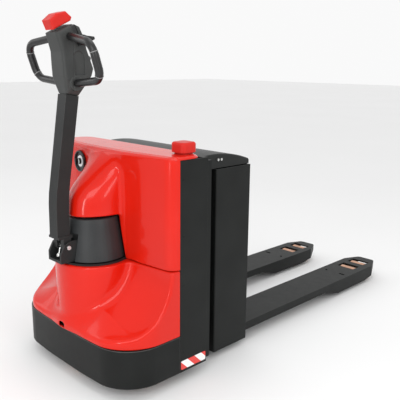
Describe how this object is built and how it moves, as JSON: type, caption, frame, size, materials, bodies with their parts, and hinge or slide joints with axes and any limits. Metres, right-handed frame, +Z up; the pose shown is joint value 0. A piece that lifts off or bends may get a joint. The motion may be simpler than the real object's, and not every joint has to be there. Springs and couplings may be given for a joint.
{
  "type": "electric pallet truck",
  "caption": "Walk-behind electric pallet truck with a steered drive wheel, tilting tiller, lifting battery carriage and load forks with tandem rollers.",
  "frame": {"origin": "on the floor, in the middle of the overall box", "axes": "+Z up, +Y towards the fork tips, +X to the right of someone facing the fork tips"},
  "size_m": [0.71, 1.847, 1.31],
  "materials": {
    "black_steel": "satin powder coat",
    "red_cowl": "high gloss",
    "red_button": "semi gloss",
    "black_lid": "grained satin",
    "tiller_metal": "fine texture coat",
    "collar_grey": "fine grain",
    "head_grey": "fine grain",
    "grip_black": "soft satin",
    "button_black": "satin",
    "bright_steel": "zinc plated",
    "cast_iron": "painted casting",
    "motor_paint": "satin",
    "tyre_poly": "satin polyurethane",
    "battery_case": "dull",
    "tank_plastic": "translucent white",
    "alloy": "anodised",
    "nylon": "dull"
  },
  "bodies": {
    "chassis": {"chassis_skirt": "black_steel", "side_panels": "black_steel", "bulkhead": "black_steel", "base_plate": "black_steel", "drive_turret": "black_steel", "slewing_ring_outer": "bright_steel", "castor_top_plates": "bright_steel", "mast_rails": "black_steel", "upper_cowl": "red_cowl", "lower_cowl": "red_cowl", "cylinder_barrel": "black_steel", "hydraulic_tank": "tank_plastic", "pump_motor": "motor_paint", "motor_controller": "alloy", "battery_gauge": "button_black", "emergency_stop_base": "red_button", "cowl_screws": "black_steel"},
    "drive_unit": {"gearbox_housing": "cast_iron", "slewing_ring_inner": "bright_steel", "drive_motor": "motor_paint", "motor_brake": "cast_iron", "steering_collar": "collar_grey", "tiller_base": "tiller_metal", "tilt_pin": "bright_steel"},
    "drive_wheel": {"drive_wheel_hub": "cast_iron", "drive_wheel_tyre": "tyre_poly"},
    "tiller": {"tiller_arm": "tiller_metal", "tiller_head": "head_grey", "head_cover": "head_grey", "left_handle_loop": "grip_black", "right_handle_loop": "grip_black"},
    "throttle": {"throttle_paddles": "grip_black"},
    "belly_switch": {"belly_button": "red_button"},
    "lift_switch": {"lift_button": "button_black"},
    "horn_switch": {"horn_button": "button_black"},
    "lower_switch": {"lower_button": "button_black"},
    "key": {"ignition_key": "button_black"},
    "emergency_stop": {"emergency_stop_button": "red_button"},
    "left_castor": {"left_castor_fork": "bright_steel"},
    "right_castor": {"right_castor_fork": "bright_steel"},
    "left_castor_roll": {"left_castor_wheel": "tyre_poly"},
    "right_castor_roll": {"right_castor_wheel": "tyre_poly"},
    "carriage": {"carriage_frame": "black_steel", "left_fork": "black_steel", "right_fork": "black_steel", "battery": "battery_case", "cylinder_rod": "bright_steel", "guide_blocks": "nylon"},
    "lid": {"battery_lid": "black_lid", "lid_screws": "bright_steel"},
    "left_arm": {"left_load_arm": "black_steel"},
    "right_arm": {"right_load_arm": "black_steel"},
    "left_tandem": {"left_bogie": "black_steel"},
    "right_tandem": {"right_bogie": "black_steel"},
    "left_rear_roll": {"left_rear_roller": "tyre_poly"},
    "left_front_roll": {"left_front_roller": "tyre_poly"},
    "right_rear_roll": {"right_rear_roller": "tyre_poly"},
    "right_front_roll": {"right_front_roller": "tyre_poly"},
    "pull_rod_pair": {"pull_rods": "black_steel"},
    "rocker": {"rocker_shaft": "black_steel"}
  },
  "joints": [
    {"name": "steer", "type": "hinge", "parent": "chassis", "child": "drive_unit", "pos_m": [0, -0.7555, 0.268], "axis": [0, 0, 1], "range_deg": [-90, 90]},
    {"name": "drive_wheel_spin", "type": "hinge", "parent": "drive_unit", "child": "drive_wheel", "pos_m": [0, -0.7555, 0.115], "axis": [1, 0, 0], "continuous": true},
    {"name": "tiller_tilt", "type": "hinge", "parent": "drive_unit", "child": "tiller", "pos_m": [0, -0.8885, 0.505], "axis": [1, 0, 0], "range_deg": [0, 80]},
    {"name": "throttle_turn", "type": "hinge", "parent": "tiller", "child": "throttle", "pos_m": [0, -0.8145, 1.218], "axis": [1, 0, 0], "range_deg": [-30, 30], "stiffness_Nm_per_rad": 0.8},
    {"name": "belly_push", "type": "slide", "parent": "tiller", "child": "belly_switch", "axis": [0, 0.4363, -0.8998], "range_m": [0, 0.004], "stiffness_N_per_m": 800},
    {"name": "lift_button_push", "type": "slide", "parent": "tiller", "child": "lift_switch", "axis": [0, -0.9397, -0.342], "range_m": [0, 0.003], "stiffness_N_per_m": 300},
    {"name": "horn_button_push", "type": "slide", "parent": "tiller", "child": "horn_switch", "axis": [0, -0.9397, -0.342], "range_m": [0, 0.003], "stiffness_N_per_m": 300},
    {"name": "lower_button_push", "type": "slide", "parent": "tiller", "child": "lower_switch", "axis": [0, -0.9397, -0.342], "range_m": [0, 0.003], "stiffness_N_per_m": 300},
    {"name": "key_turn", "type": "hinge", "parent": "chassis", "child": "key", "pos_m": [-0.155, -0.69883, 0.772], "axis": [-0.1159, -0.9933, 0], "range_deg": [0, 90]},
    {"name": "emergency_stop_push", "type": "slide", "parent": "chassis", "child": "emergency_stop", "axis": [0, 0, -1], "range_m": [0, 0.004]},
    {"name": "left_castor_swivel", "type": "hinge", "parent": "chassis", "child": "left_castor", "pos_m": [-0.245, -0.7415, 0.165], "axis": [0, 0, 1], "continuous": true},
    {"name": "left_castor_spin", "type": "hinge", "parent": "left_castor", "child": "left_castor_roll", "pos_m": [-0.245, -0.7095, 0.055], "axis": [1, 0, 0], "continuous": true},
    {"name": "right_castor_swivel", "type": "hinge", "parent": "chassis", "child": "right_castor", "pos_m": [0.245, -0.7415, 0.165], "axis": [0, 0, 1], "continuous": true},
    {"name": "right_castor_spin", "type": "hinge", "parent": "right_castor", "child": "right_castor_roll", "pos_m": [0.245, -0.7095, 0.055], "axis": [1, 0, 0], "continuous": true},
    {"name": "lift", "type": "slide", "parent": "chassis", "child": "carriage", "axis": [0, 0, 1], "range_m": [0, 0.12]},
    {"name": "lid_open", "type": "hinge", "parent": "carriage", "child": "lid", "pos_m": [0, -0.2365, 0.776], "axis": [-1, 0, 0], "range_deg": [0, 90]},
    {"name": "left_arm_turn", "type": "hinge", "parent": "carriage", "child": "left_arm", "pos_m": [-0.199, 0.5775, 0.058], "axis": [-1, 0, 0], "range_deg": [0, 36.1]},
    {"name": "left_bogie_turn", "type": "hinge", "parent": "left_arm", "child": "left_tandem", "pos_m": [-0.199, 0.78681, 0.041], "axis": [1, 0, 0], "range_deg": [0, 36.1]},
    {"name": "left_rear_roller_spin", "type": "hinge", "parent": "left_tandem", "child": "left_rear_roll", "pos_m": [-0.199, 0.73681, 0.041], "axis": [1, 0, 0], "continuous": true},
    {"name": "left_front_roller_spin", "type": "hinge", "parent": "left_tandem", "child": "left_front_roll", "pos_m": [-0.199, 0.83681, 0.041], "axis": [1, 0, 0], "continuous": true},
    {"name": "right_arm_turn", "type": "hinge", "parent": "carriage", "child": "right_arm", "pos_m": [0.199, 0.5775, 0.058], "axis": [-1, 0, 0], "range_deg": [0, 36.1]},
    {"name": "right_bogie_turn", "type": "hinge", "parent": "right_arm", "child": "right_tandem", "pos_m": [0.199, 0.78681, 0.041], "axis": [1, 0, 0], "range_deg": [0, 36.1]},
    {"name": "right_rear_roller_spin", "type": "hinge", "parent": "right_tandem", "child": "right_rear_roll", "pos_m": [0.199, 0.73681, 0.041], "axis": [1, 0, 0], "continuous": true},
    {"name": "right_front_roller_spin", "type": "hinge", "parent": "right_tandem", "child": "right_front_roll", "pos_m": [0.199, 0.83681, 0.041], "axis": [1, 0, 0], "continuous": true},
    {"name": "pull_rod_travel", "type": "slide", "parent": "carriage", "child": "pull_rod_pair", "axis": [0, -1, 0], "range_m": [0, 0.0162]},
    {"name": "rocker_turn", "type": "hinge", "parent": "carriage", "child": "rocker", "pos_m": [0, -0.3215, 0.042], "axis": [1, 0, 0], "range_deg": [0, 36.1]}
  ],
  "couplings": [
    {"joint": "left_arm_turn", "follows": "lift", "rad_per_m": 5.2474},
    {"joint": "left_bogie_turn", "follows": "lift", "rad_per_m": 5.2474},
    {"joint": "right_arm_turn", "follows": "lift", "rad_per_m": 5.2474},
    {"joint": "right_bogie_turn", "follows": "lift", "rad_per_m": 5.2474},
    {"joint": "pull_rod_travel", "follows": "lift", "ratio": 0.1342},
    {"joint": "rocker_turn", "follows": "lift", "rad_per_m": 5.2474}
  ]
}
